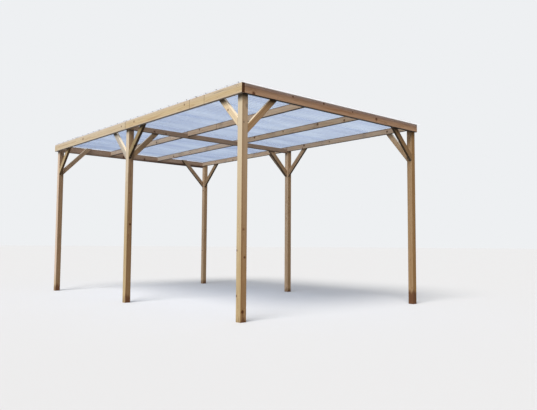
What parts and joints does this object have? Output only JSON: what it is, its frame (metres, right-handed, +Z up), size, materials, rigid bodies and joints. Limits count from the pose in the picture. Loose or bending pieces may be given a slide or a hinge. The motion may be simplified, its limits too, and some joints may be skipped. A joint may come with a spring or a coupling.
{
  "type": "wooden pergola",
  "caption": "Free-standing rectangular wooden pergola with square posts, knee braces, deep edge boards and a flat roof of clear corrugated sheets over purlins.",
  "frame": {"origin": "on the ground at the middle of the rectangle of timbers, which is the middle of the bounding box too, but for the roof's overhang, which is 37 mm more on the right side than on the left", "axes": "+X along the long side to the front end, +Y across to the right side that has the shallow beam, +Z up"},
  "size_m": [6.076, 3.653, 2.8909],
  "materials": {
    "timber": "planed and pressure treated, weathered",
    "roof_sheet": "clear corrugated sheet with a faint blue tint"
  },
  "bodies": {
    "root": {"beam_front": "timber", "beam_left_front": "timber", "beam_left_rear": "timber", "beam_rear": "timber", "beam_right_front": "timber", "beam_right_rear": "timber", "brace_front_left_across": "timber", "brace_front_left_along": "timber", "brace_front_right_across": "timber", "brace_front_right_along": "timber", "brace_middle_left_across": "timber", "brace_middle_left_backward": "timber", "brace_middle_left_forward": "timber", "brace_middle_right_across": "timber", "brace_middle_right_backward": "timber", "brace_middle_right_forward": "timber", "brace_rear_left_across": "timber", "brace_rear_left_along": "timber", "brace_rear_right_across": "timber", "brace_rear_right_along": "timber", "cross_beam": "timber", "post_front_left": "timber", "post_front_right": "timber", "post_middle_left": "timber", "post_middle_right": "timber", "post_rear_left": "timber", "post_rear_right": "timber", "purlin_left_front": "timber", "purlin_left_rear": "timber", "purlin_right_front": "timber", "purlin_right_rear": "timber", "roof_sheet_1": "roof_sheet", "roof_sheet_2": "roof_sheet", "roof_sheet_3": "roof_sheet", "roof_sheet_4": "roof_sheet", "roof_sheet_5": "roof_sheet", "roof_sheet_6": "roof_sheet"}
  },
  "joints": []
}
